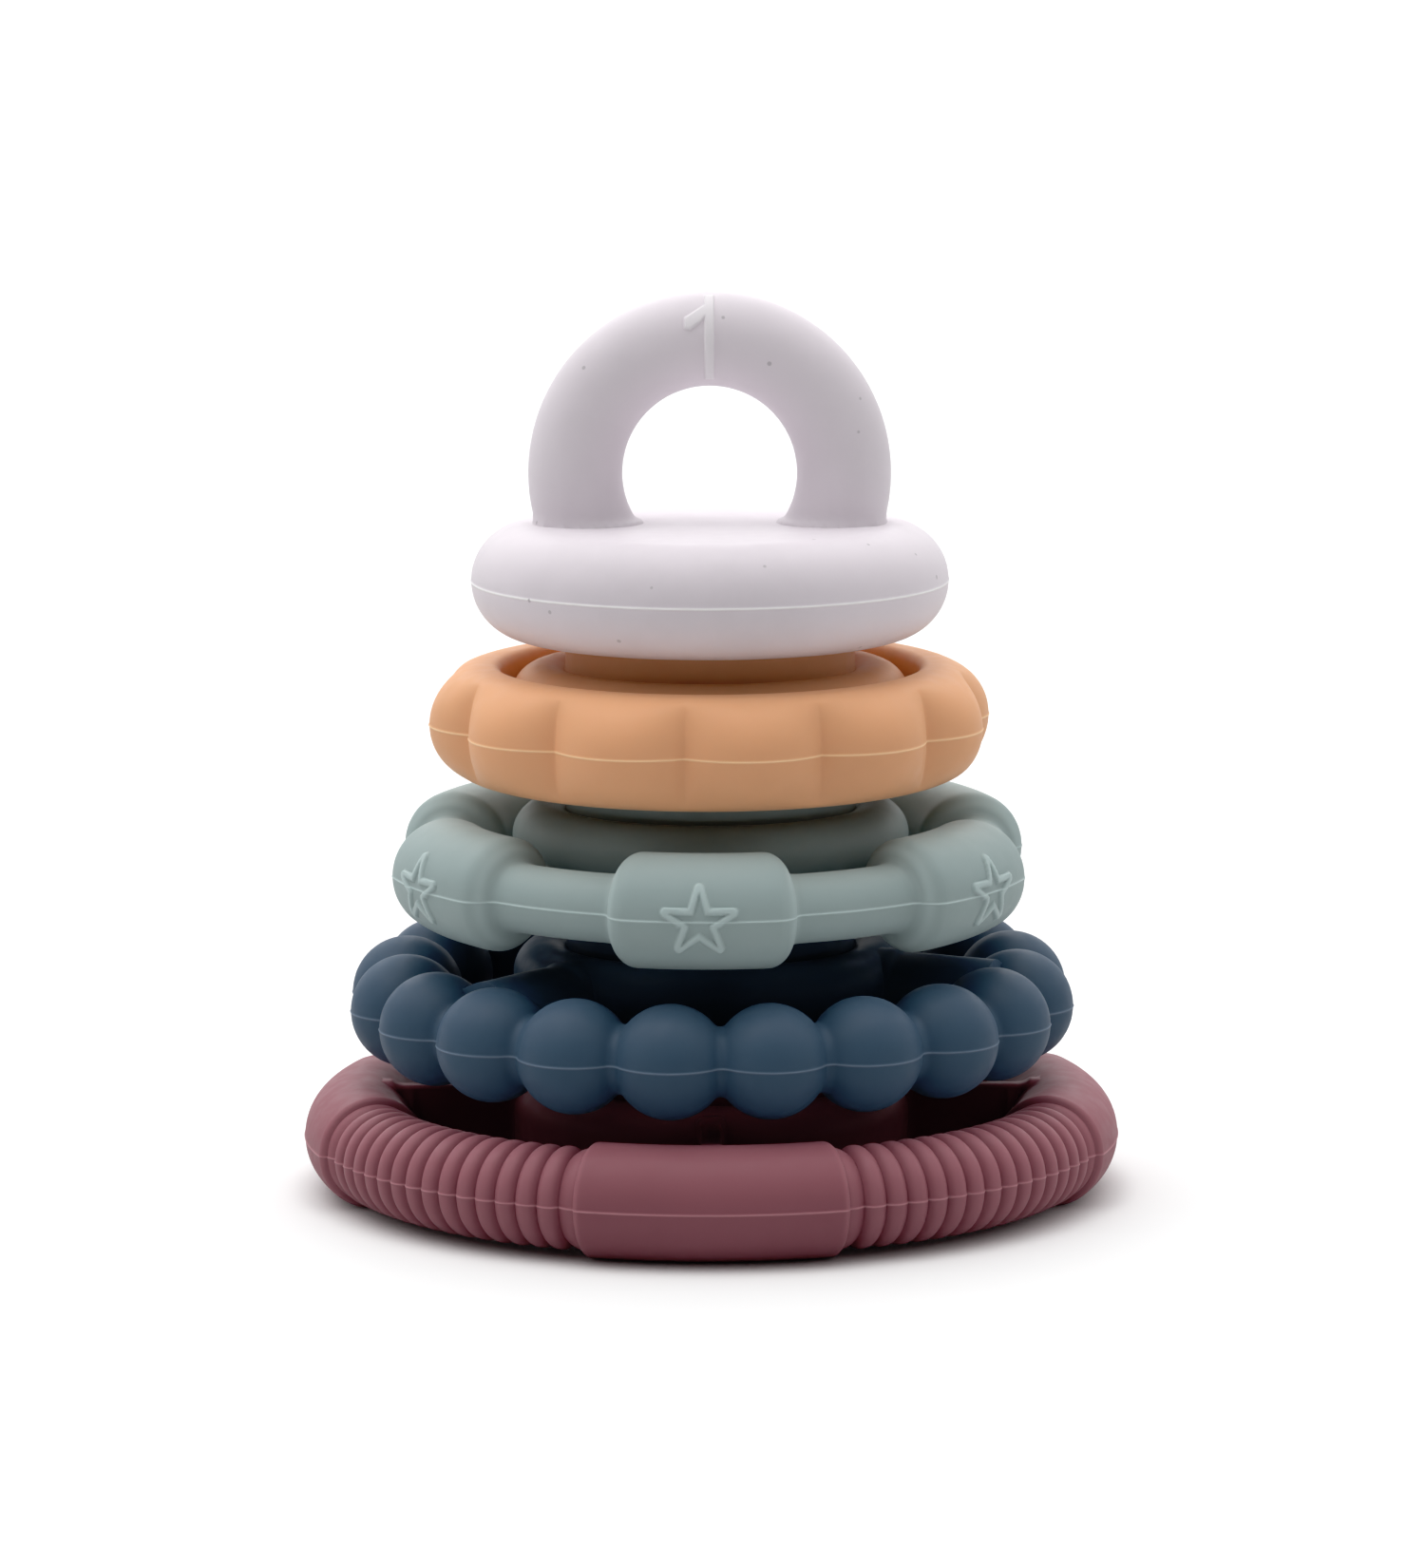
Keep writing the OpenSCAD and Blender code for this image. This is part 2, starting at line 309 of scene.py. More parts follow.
def hub_object(low_r):
    """A hub whose outside has the radius low_r below its rim."""
    return lathe_object("hub", hub_profile(low_r), HUB_STEPS)


def radial(turn, along, across, up):
    """Points from their place along, across and above a direction."""
    a = math.radians(turn)
    x = along * math.sin(a) + across * math.cos(a)
    y = -along * math.cos(a) + across * math.sin(a)
    return np.stack([x, y, up], -1)


# How a fin's section is divided: steps round a corner, and shares of what is left of a side
CORNER_STEPS = 4
SIDE_STEPS = 4
WIDE_SIDE_SHARE = 0.35
TALL_SIDE_SHARE = 0.3


def rounded_box(width, low, high, radius):
    """Points and outward normals round a rectangle with rounded corners."""
    points, normals = [], []
    half = width / 2
    corners = [(half, high, 0), (-half, high, 90), (-half, low, 180), (half, low, 270)]
    for place, (x, z, start) in enumerate(corners):
        for k in range(CORNER_STEPS + 1):
            a = math.radians(start + 90 * k / CORNER_STEPS)
            n = (math.cos(a), math.sin(a))
            cx = x - math.copysign(radius, x)
            cz = z - radius if z == high else z + radius
            points.append((cx + radius * n[0], cz + radius * n[1]))
            normals.append(n)
        next_x, next_z, _ = corners[(place + 1) % 4]
        for _ in range(SIDE_STEPS):
            px, pz = points[-1]
            if start in (0, 180):
                end = math.copysign(half - radius, next_x)
                points.append((px + (end - px) * WIDE_SIDE_SHARE, pz))
            else:
                end = next_z - radius if next_z == high else next_z + radius
                points.append((px, pz + (end - pz) * TALL_SIDE_SHARE))
            normals.append(n)
    return np.array(points), np.array(normals)


def arm_object(turn, outline, normals, along, swell):
    """An arm: an outline swept out along a direction, which swells where it meets a neighbour."""
    x = along[:, None] + 0 * outline[None, :, 0]
    grow = swell(x, outline[None, :, 0], outline[None, :, 1])
    y = outline[None, :, 0] + grow * normals[None, :, 0]
    z = np.maximum(outline[None, :, 1] + grow * normals[None, :, 1], -HALF_H)
    return tube_object("arm", radial(turn, x, y, z))


def swell_between(tube_circle_r, tube_r, tube_z, radius):
    """Fillets where an arm leaves the hub and where it meets a ring."""

    def swell(x, y, z):
        r = np.hypot(x, y)
        to_ring = np.hypot(r - tube_circle_r, z - tube_z) - tube_r
        return fillet(r - HUB_R + ARM_SINKS, radius) + fillet(to_ring, radius)

    return swell


def round_outline(radius, height):
    """Points and outward normals round a circle."""
    angle = TAU * np.arange(ARM_STEPS) / ARM_STEPS
    normals = np.stack([np.cos(angle), np.sin(angle)], -1)
    return normals * radius + np.array([0, height]), normals


# ---------------------------------------------------------------- base ring

BASE_R = 60.0
BASE_CIRCLE_R = BASE_R - HALF_H

# The smooth pads. A "crest" value is a share of a paler colour painted on ridges and edges as a
# highlight
PAD_COUNT = 4
PAD_PITCH = 360 / PAD_COUNT
PAD_HALF = 19.2
PAD_END_ROUND = 1.1
# A painted highlight along each pad's ends: its strength and how narrowly it hugs the end
PAD_RIM_CREST = 0.25
RIM_SHARPNESS = 1.4

# The ribs between the pads
RIB_CREST_R = 7.35
RIB_DEPTH = 0.95
RIB_PITCH = 10 / 3
RIB_COUNT = 14
FIRST_RIB = PAD_PITCH / 2 - RIB_COUNT / 2 * RIB_PITCH
RIB_ROUNDNESS = 2.6
END_RIB_LOWER = 0.1
END_RIB_ROUNDNESS = 2.2
# A painted highlight on the rib tops: how far below the top it reaches, and its strength
RIB_HIGHLIGHT_REACH = 0.45
RIB_CREST = 0.22

# The thin fins between the hub and the ring
FIN_COUNT = 4
FIN_STEP = 360 / FIN_COUNT
FIN_W = 3.0
FIN_TOP = 6.9
FIN_ROUND = 0.6
FIN_FILLET = 1.3


def base_columns():
    """Azimuths round the base ring, close together over the ribs and at the pads' ends."""
    in_rib = [0, 0.05, 0.13, 0.24, 0.37, 0.5, 0.63, 0.76, 0.87, 0.95]
    rounded_from = PAD_HALF - 1.6
    half = spread(0, rounded_from, 0.9) + spread(rounded_from, PAD_HALF, 0.16)
    half += [PAD_HALF + t for t in (0.02, 0.12, 0.35, 0.7, 1.1, 1.5, 1.9, 2.2, 2.38)]
    for k in range(RIB_COUNT // 2):
        half += [FIRST_RIB + (k + t) * RIB_PITCH for t in in_rib]
    half = np.array(half)
    whole = np.concatenate([half, [PAD_PITCH / 2], PAD_PITCH - half[:0:-1]])
    return np.concatenate([whole + PAD_PITCH * k for k in range(PAD_COUNT)])


def base_tube_radius(azimuth):
    """Radius of the base ring's tube at each azimuth, in degrees."""
    off = np.abs(fold(azimuth, PAD_PITCH))
    from_end = np.radians(PAD_HALF - off) * BASE_R
    inset = np.clip(PAD_END_ROUND - from_end, 0, PAD_END_ROUND)
    drop = PAD_END_ROUND - np.sqrt(np.clip(PAD_END_ROUND**2 - inset**2, 0, None))
    pad = HALF_H - drop
    phase = (off - FIRST_RIB) / RIB_PITCH
    across = np.abs(2 * (phase % 1) - 1)
    rib = RIB_CREST_R - RIB_DEPTH * across**RIB_ROUNDNESS
    past_pad = np.clip((off - PAD_HALF) / (FIRST_RIB - PAD_HALF), 0, 1)
    end_rib = RIB_CREST_R - END_RIB_LOWER - RIB_DEPTH * past_pad**END_RIB_ROUNDNESS
    rib = np.where(off < FIRST_RIB, end_rib, rib)
    return np.where(off < PAD_HALF + NEARLY_ZERO, pad, rib)


def base_ring():
    """The ribbed ring with its four pads, four thin fins and hub."""
    columns = base_columns()
    rows = tube_rows()
    azimuth = np.radians(columns)[:, None]
    tube = base_tube_radius(columns)[:, None]
    line = seam(tube * fold(rows, TAU)) * (np.cos(rows) > 0)
    off = np.abs(fold(columns, PAD_PITCH))[:, None]
    # Painted highlight shares: on the rib tops, at the pads' ends and, through line, on the parting
    # ridge
    rib_top_highlight = ramp(RIB_CREST_R - RIB_HIGHLIGHT_REACH, RIB_CREST_R, tube) * (off > PAD_HALF)
    rim = np.exp(-(((PAD_HALF - off) * RIM_SHARPNESS - 0.5) ** 2)) * (off <= PAD_HALF)
    tube = tube + SEAM_H * line
    r = BASE_CIRCLE_R + tube * np.cos(rows)
    z = tube * np.sin(rows)
    crest = np.maximum(line, np.maximum(RIB_CREST * rib_top_highlight, PAD_RIM_CREST * rim))
    ring = ring_object("ring", r, z, azimuth, crest)
    outline, normals = rounded_box(FIN_W, -HALF_H, FIN_TOP, FIN_ROUND)
    near_hub = np.concatenate([np.linspace(25, 28.4, 4), np.linspace(28.8, 31, 8)])
    near_ring = np.concatenate([np.linspace(32, 41, 8), np.linspace(41.4, 48.6, 26)])
    along = np.concatenate([near_hub, near_ring])
    swell = swell_between(BASE_CIRCLE_R, HALF_H, 0, FIN_FILLET)
    turns = [FIN_STEP * k for k in range(FIN_COUNT)]
    fins = [arm_object(turn, outline, normals, along, swell) for turn in turns]
    return unite("base_ring_skin", [ring, hub_object(HUB_R), *fins], HALF_H)


# ---------------------------------------------------------------- bead ring

# The round arms of the bead ring and the star ring
ARM_COUNT = 3
ARM_STEP = 360 / ARM_COUNT
ARM_FILLET = 0.9

# The droop lowers the whole ring, and the sag and lean then bend it down, most at the front
BEAD_COUNT = 20
BEAD_R = 8.2
BEAD_CIRCLE_R = 45.3
BEAD_TURN = 1.7
BEAD_DROOP = 0.6
BEAD_ARM_R = 7.1
BEAD_ARM_TURN = 72
BEAD_NECK = 3.4
BEAD_NECK_ROUND = 1.0
BEAD_SAG = 0.15
BEAD_LEAN = 0.85


def bead_section(off):
    """Radius of a bead's section at an angle from its middle, seen from the toy's axis."""
    across = BEAD_CIRCLE_R * np.sin(np.radians(off))
    return np.sqrt(np.clip(BEAD_R**2 - across**2, 0, None))


def bead_ring():
    """The ring of beads, run together by smooth necks, with its three round arms and hub."""
    pitch = 360 / BEAD_COUNT
    half = pitch / 2
    steps = np.array(spread(0, 0.16, 0.016) + spread(0.16, 0.5, 0.04) + [0.5])
    one = np.concatenate([steps, 1 - steps[-2:0:-1]]) * pitch - half
    columns = np.concatenate([BEAD_TURN + pitch * (k + 0.5) + one for k in range(BEAD_COUNT)])
    off = np.abs(np.tile(one, BEAD_COUNT))
    near_bead, next_bead = (bead_section(angle) for angle in (off, pitch - off))
    share = np.clip(0.5 + (near_bead - next_bead) / (2 * BEAD_NECK), 0, 1)
    tube = near_bead * share + next_bead * (1 - share) + BEAD_NECK * share * (1 - share)
    from_neck = np.hypot(half - off, BEAD_NECK_ROUND)
    centre = BEAD_CIRCLE_R * np.cos(np.radians(half - from_neck))[:, None]
    rows = tube_rows()
    line = seam(tube[:, None] * fold(rows, TAU)) * (np.cos(rows) > 0)
    grown = tube[:, None] + SEAM_H * line
    r = centre + grown * np.cos(rows)
    z = grown * np.sin(rows) - BEAD_DROOP
    # The parting ridge's share doubles as its painted highlight
    ring = ring_object("ring", r, z, np.radians(columns)[:, None], line)
    outline, normals = round_outline(BEAD_ARM_R, HALF_H - BEAD_ARM_R - BEAD_DROOP)
    along = np.linspace(24, BEAD_CIRCLE_R - 2, 40)
    swell = swell_between(BEAD_CIRCLE_R, BEAD_R - 1.5, -BEAD_DROOP, ARM_FILLET)
    turns = [BEAD_ARM_TURN + ARM_STEP * k for k in range(ARM_COUNT)]
    arms = [arm_object(turn, outline, normals, along, swell) for turn in turns]
    piece = unite("bead_ring_skin", [ring, hub_object(SKIRT_R), *arms], plane_of("bead_ring"))
    sag(piece, BEAD_SAG, BEAD_LEAN, BEAD_CIRCLE_R)
    return piece


# ---------------------------------------------------------------- star ring

# The thin tube, the fat pads on it and the arms
STAR_CIRCLE_R = 39.7
STAR_TUBE_R = 4.9
STAR_TUBE_FLARE = 0.5
STAR_FLARE_LENGTH = 0.35
STAR_PADS = 6
STAR_PITCH = 360 / STAR_PADS
STAR_PAD_HALF = 17.5
STAR_TURN = -1.6
STAR_DROOP = 0.5
STAR_SAG = 0.2
STAR_LEAN = 0.75
STAR_ARM_R = 4.4
STAR_ARM_DROP = 2
PAD_EDGE_R = 3.9
# A painted highlight near each pad's ends: how far in it lies, its width and its strength
PAD_RIM_AT = 0.9
PAD_RIM_W = 0.7
STAR_PAD_CREST = 0.35

# The raised star on each pad: its points, its line, and how it is squashed and set off the middle
STAR_POINTS = 5
STAR_R = 5.0
STAR_INNER_R = 1.75
STAR_ROUND = 0.85
STAR_LINE = 1.0
STAR_H = 0.42
# The strength of the painted highlight on the star's raised line
STAR_CREST = 0.6
STAR_SQUAT = 0.92
STAR_LEFT = 0.3
STAR_LOW = 0.1
STAR_REACH = 9
STAR_FINE_ROWS = 52
STAR_FINE_STEP = 1.7


def polygon_distance(x, y, corners):
    """Distance from each point to a polygon's outline, negative inside."""
    best = np.full(np.broadcast(x, y).shape, np.inf)
    inside = np.zeros(best.shape, bool)
    for (x0, y0), (x1, y1) in zip(corners, corners[1:] + corners[:1]):
        ex, ey = x1 - x0, y1 - y0
        t = np.clip(((x - x0) * ex + (y - y0) * ey) / (ex * ex + ey * ey), 0, 1)
        best = np.minimum(best, np.hypot(x - x0 - t * ex, y - y0 - t * ey))
        crosses = (y0 > y) != (y1 > y)
        inside ^= crosses & (x < ex * (y - y0) / (ey if ey else NEARLY_ZERO) + x0)
    return np.where(inside, -best, best)


def star_corners():
    """Corners of the sharp star inside the rounded one, with one point up."""
    points = []
    for k in range(2 * STAR_POINTS):
        a = math.radians(90 + 180 / STAR_POINTS * k)
        q = STAR_R if k % 2 == 0 else STAR_INNER_R
        points.append((q * math.cos(a), q * math.sin(a)))
    return points


def star_columns():
    """Azimuths round the star ring, close together over each star and at each pad's ends."""
    half = spread(0, 8.2, 0.26) + spread(8.2, 13.6, 0.9) + spread(13.6, STAR_PAD_HALF, 0.24)
    half += [STAR_PAD_HALF + t for t in (0, 0.05, 0.3, 0.6)] + spread(18.6, STAR_PITCH / 2, 1.3)
    half = np.array(half)
    whole = np.concatenate([half, [STAR_PITCH / 2], STAR_PITCH - half[:0:-1]])
    return np.concatenate([whole + STAR_PITCH * k for k in range(STAR_PADS)])


def from_pad_end(off):
    """Distance inwards from a star pad's end, at an angle from the pad's middle in degrees."""
    return np.radians(STAR_PAD_HALF - np.abs(off)) * (STAR_CIRCLE_R + HALF_H)


def star_tube_radius(off):
    """Radius of the star ring's tube from the angle to the nearest pad's middle, in degrees."""
    from_end = from_pad_end(off)
    inset = np.clip(PAD_EDGE_R - from_end, 0, PAD_EDGE_R)
    pad = HALF_H - PAD_EDGE_R + np.sqrt(np.clip(PAD_EDGE_R**2 - inset**2, 0, None))
    pad = np.maximum(pad, STAR_TUBE_R + STAR_TUBE_FLARE)
    outside = np.radians(np.abs(off) - STAR_PAD_HALF) * STAR_CIRCLE_R
    thin = STAR_TUBE_R + STAR_TUBE_FLARE * np.exp(-np.clip(outside, 0, None) / STAR_FLARE_LENGTH)
    return np.where(from_end > -NEARLY_ZERO, pad, thin)


def star_line(across, up):
    """Share of the raised star outline's height at a place on a pad, from the pad's middle."""
    x, y = across + STAR_LEFT, (up + STAR_LOW) / STAR_SQUAT
    to_star = polygon_distance(x, y, star_corners()) - STAR_ROUND
    return ramp(0.05, -0.3, to_star) * ramp(-STAR_LINE - 0.2, -STAR_LINE + 0.15, to_star)


def star_ring():
    """The thin ring with its six fat pads, a star on each, three arms and hub."""
    columns = star_columns()
    rows = tube_rows(STAR_FINE_ROWS, STAR_FINE_STEP)
    off = fold(columns, STAR_PITCH)[:, None]
    tube = star_tube_radius(off)
    across = np.sin(np.radians(off)) * (STAR_CIRCLE_R + HALF_H)
    front = np.cos(rows) > 0
    line = star_line(across, tube * np.sin(rows)) * front * (np.abs(off) < STAR_REACH)
    parting = seam(tube * fold(rows, TAU)) * front
    # Painted highlight shares: on the star's line, on the parting ridge and near the pads' ends
    rim = np.exp(-(((from_pad_end(off) - PAD_RIM_AT) / PAD_RIM_W) ** 2))
    tube = tube + STAR_H * line + SEAM_H * parting * (1 - line)
    r = STAR_CIRCLE_R + tube * np.cos(rows)
    z = tube * np.sin(rows) - STAR_DROOP
    crest = np.maximum(np.maximum(STAR_CREST * line, parting), STAR_PAD_CREST * rim)
    ring = ring_object("ring", r, z, np.radians(columns + STAR_TURN)[:, None], crest)
    outline, normals = round_outline(STAR_ARM_R, -STAR_DROOP - STAR_ARM_DROP)
    along = np.linspace(23.5, STAR_CIRCLE_R, 30)
    swell = swell_between(STAR_CIRCLE_R, HALF_H, -STAR_DROOP, ARM_FILLET)
    turns = [STAR_TURN + STAR_PITCH + ARM_STEP * k for k in range(ARM_COUNT)]
    arms = [arm_object(turn, outline, normals, along, swell) for turn in turns]
    piece = unite("star_ring_skin", [ring, hub_object(SKIRT_R), *arms], plane_of("star_ring"))
    sag(piece, STAR_SAG, STAR_LEAN, STAR_CIRCLE_R)
    return piece


# ---------------------------------------------------------------- scallop ring

# The lobes, and the grooves between them, which fade out towards the top and the bottom
LOBE_TIP_R = 41.4
LOBE_COUNT = 12
LOBE_R = 12.6
LOBE_TURN = -5.5
GROOVE_ENDS = 66
GROOVE_SOFT = 0.35
SCALLOP_SAG = 0.1
SCALLOP_LEAN = 0.3

# The open channel round the boss, and how far the ring runs in under it, inside the hub
CHANNEL_R = 30.6
CHANNEL_FLOOR = 3.0
CHANNEL_LIP = 1.5
CHANNEL_ROUND = 0.6
IN_HUB_R = 26.5


def scallop_section():
    """(radius, height, share of the groove's depth) round the ring's section."""
    cx = LOBE_TIP_R - HALF_H
    fade = math.cos(math.radians(GROOVE_ENDS))
    points = []
    for a in sorted(fold(angle, 360) for angle in np.degrees(tube_rows())):
        if -90 <= a <= 90:
            x, z = cx + HALF_H * math.cos(math.radians(a)), HALF_H * math.sin(math.radians(a))
            share = max(0, (math.cos(math.radians(a)) - fade) / (1 - fade))
            points.append((x, z, share))
    points += [(x, HALF_H, 0) for x in np.linspace(cx - 0.3, CHANNEL_R + CHANNEL_LIP + 0.3, 3)]
    lip = arc(CHANNEL_R + CHANNEL_LIP, HALF_H - CHANNEL_LIP, CHANNEL_LIP, 90, 180, 8)
    wall = [(CHANNEL_R, z) for z in (5.8, 4.9, 4.0)]
    floor_z = CHANNEL_FLOOR + CHANNEL_ROUND
    floor_edge = arc(CHANNEL_R - CHANNEL_ROUND, floor_z, CHANNEL_ROUND, 0, -90, 4)
    inside = [(IN_HUB_R, z) for z in (CHANNEL_FLOOR, -1.5, -6)]
    underside = [(28.5, -7.6), (31, -HALF_H)]
    points += [(x, z, 0) for x, z in lip + wall + floor_edge + inside + underside]
    return np.array(points)


def scallop_ring():
    """The ring of shallow lobes, merged with its hub."""
    pitch = 360 / LOBE_COUNT
    near_groove = [0, 0.004, 0.012, 0.025, 0.05, 0.08]
    share = np.array(near_groove + spread(0.11, 0.5, 0.032) + [0.5])
    one = np.concatenate([share, 1 - share[-2:0:-1]]) * pitch
    columns = np.concatenate([LOBE_TURN + pitch * k + one for k in range(LOBE_COUNT)])
    off = pitch / 2 - np.abs(np.tile(one, LOBE_COUNT) - pitch / 2)
    softened = np.sqrt(off**2 + GROOVE_SOFT**2)
    delta = np.radians(pitch / 2 - softened)
    centre = LOBE_TIP_R - LOBE_R
    tip = centre * np.cos(delta) + np.sqrt(LOBE_R**2 - (centre * np.sin(delta)) ** 2)
    section = scallop_section()
    drop = (LOBE_TIP_R - tip)[:, None]
    r = section[None, :, 0] - drop * section[None, :, 2]
    z = section[None, :, 1] + 0 * drop
    line = seam(z) * (section[None, :, 0] > LOBE_TIP_R - 2)
    # The parting ridge's share doubles as its painted highlight
    ring = ring_object("ring", r + SEAM_H * line, z, np.radians(columns)[:, None], line)
    piece = unite("scallop_ring_skin", [ring, hub_object(SKIRT_R)], plane_of("scallop_ring"))
    sag(piece, SCALLOP_SAG, SCALLOP_LEAN, LOBE_TIP_R - HALF_H)
    return piece


# ---------------------------------------------------------------- top piece

DISC_R = 34.9
DISC_HALF = 8.3
DISC_SEAM_ROWS = (-3, -2, -1.1, -0.55, 0, 0.55, 1.1, 2, 3)
DISC_ROWS = 24

# The loop: a bend from LOOP_BEND over the top, and straight legs down into the disc
LOOP_R = 19.6
LOOP_TUBE_R = 6.88
LOOP_RISE = 15.6
LOOP_BEND = -30
LOOP_STEP = 2.2
LEG_LONG = 3.3
LEG_SHORT = 0.35
LEG_STEPS = 10
LEG_FILLET = 1.3

# The raised 1: its outlines, across from and down from the middle of the loop's top
NUMERAL_H = 0.36
# The strength of the painted highlight on the raised 1
NUMERAL_CREST = 0.35
NUMERAL_FROM = 85.5
NUMERAL_TO = 104
NUMERAL_STROKE = [(-0.72, 0.45), (0.72, 0.45), (0.72, 12.3), (-0.72, 12.3)]
NUMERAL_FLAG = [
    (-0.3, 1.4),
    (-2.3, 2.6),
    (-3.6, 3.4),
    (-3.6, 4.9),
    (-2.9, 5.1),
    (-1.1, 3.9),
    (-0.3, 2.9),
]


def disc_profile():
    """The top piece's disc, from its socket's roof round its rim to the middle of its top."""
    x = DISC_R - DISC_HALF
    roof = SOCKET_DEPTH - HALF_H
    foot = FOOT_ROUND - DISC_HALF
    points = [(0, roof)] + [(r, roof) for r in (6, 12, 18, SOCKET_R - SOCKET_ROUND)]
    points += arc(SOCKET_R - SOCKET_ROUND, roof - SOCKET_ROUND, SOCKET_ROUND, 90, 0, 5)[1:]
    points += [(SOCKET_R, z) for z in np.linspace(roof - 2 * SOCKET_ROUND, foot, 4)]
    points += arc(SOCKET_R + FOOT_ROUND, foot, FOOT_ROUND, 180, 270, 5)[1:]
    points += [(24.5, -DISC_HALF)]
    below = np.linspace(-90, -PLAIN_ROWS_FROM, DISC_ROWS)
    above = np.linspace(PLAIN_ROWS_FROM, 90, DISC_ROWS)
    for a in np.concatenate([below, DISC_SEAM_ROWS, above]):
        height = DISC_HALF * math.sin(math.radians(a))
        radius = DISC_HALF + SEAM_H * float(seam(height))
        points.append((x + radius * math.cos(math.radians(a)), height))
    points += [(r, DISC_HALF) for r in (23, 19, 15, 11, 7, 3.5)] + [(0, DISC_HALF)]
    return points


def numeral_relief(x, z):
    """Share of the raised 1's height at a place on the loop's front, from its top's middle."""
    to_stroke, to_flag = (polygon_distance(x, -z, part) for part in (NUMERAL_STROKE, NUMERAL_FLAG))
    return ramp(0.1, -0.22, np.minimum(to_stroke, to_flag))


def loop_object():
    """The carrying loop, whose legs run straight into the disc and flare where they meet it."""
    far_bend = 180 - LOOP_BEND
    fine = spread(NUMERAL_FROM, NUMERAL_TO, 0.3)
    sweep = spread(LOOP_BEND, NUMERAL_FROM, LOOP_STEP) + fine
    sweep += spread(NUMERAL_TO, far_bend, LOOP_STEP) + [far_bend]
    leg = [(LOOP_BEND, t) for t in np.linspace(LEG_LONG, LEG_SHORT, LEG_STEPS)]
    other = [(far_bend, t) for t in np.linspace(LEG_SHORT, LEG_LONG, LEG_STEPS)]
    path = leg + [(a, 0) for a in sweep] + other
    around = np.radians(spread(0, 12, 3) + spread(12, 168, 1.5) + spread(168, 360, 5))
    outward = np.cos(around)
    front = np.sin(around)
    rings, crests = [], []
    for a, run in path:
        ca, sa = math.cos(math.radians(a)), math.sin(math.radians(a))
        side = -1 if a < 90 else 1
        cx = LOOP_R * ca + side * run * abs(sa)
        cz = LOOP_RISE + LOOP_R * sa - run * abs(ca)
        x = cx + LOOP_TUBE_R * outward * ca
        z = cz + LOOP_TUBE_R * outward * sa
        y = -LOOP_TUBE_R * front
        relief = numeral_relief(x, z - LOOP_RISE - LOOP_R - LOOP_TUBE_R) * (front > 0)
        relief = relief * (NUMERAL_FROM - 1 < a < NUMERAL_TO + 1)
        grow = fillet(z - DISC_HALF, LEG_FILLET) + NUMERAL_H * relief
        x = x + grow * outward * ca
        z = z + grow * outward * sa
        y = y - grow * front
        rings.append(np.stack([x, y, z], -1))
        crests.append(NUMERAL_CREST * relief)
    return tube_object("loop", np.array(rings), np.concatenate(crests))


def top_handle():
    """The disc with its carrying loop."""
    # The parting ridge's share round the rim doubles as its painted highlight
    disc = lathe_object("disc", disc_profile(), DISC_STEPS, lambda r, z: seam(z) * (r > DISC_R - 2))
    low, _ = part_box("top_handle")
    return unite("top_handle_skin", [disc, loop_object()], low.z / MM + DISC_HALF)


# ---------------------------------------------------------------- material

# Sizes of the silicone's patterns, as counts per metre
CLOUD_SCALE = 28
MOTTLE_SCALE = 260
SPECK_SCALE = 200
GRAIN_SCALE = 2600
RIPPLE_SCALE = 90
SHINE_SCALE = 400

# How a piece's colour varies: darker clouds, a mottle, darker specks and paler crests, the crests
# being a painted highlight
SHADE = 0.93
MOTTLE = 0.35
SPECK_SHADE = 0.7
SPECK_INNER = 0.05
SPECK_OUTER = 0.08
CREST_GAIN = 1.35
CREST_LIFT = 0.07
CREST_MOST = 0.95

# The silicone's surface and depth, with lengths in metres
ROUGHNESS = 0.5
SOFTNESS = 0.25
SOFT_DEPTH = 0.0016
SILICONE_IOR = 1.41
SPECULAR = 0.24
SHEEN = 0.06
SHEEN_ROUGHNESS = 0.45
GRAIN_STRENGTH = 0.06
GRAIN_DEPTH = 0.0001
RIPPLE_STRENGTH = 0.12
RIPPLE_DEPTH = 0.0008


def lit(colour, factor):
    """A colour made lighter or darker."""
    return tuple(min(1, c * factor) for c in colour)


def crest_colour(colour):
    """The paler colour painted on crests as a highlight: lighter and a little greyer."""
    return tuple(min(CREST_MOST, CREST_GAIN * c + CREST_LIFT) for c in colour)


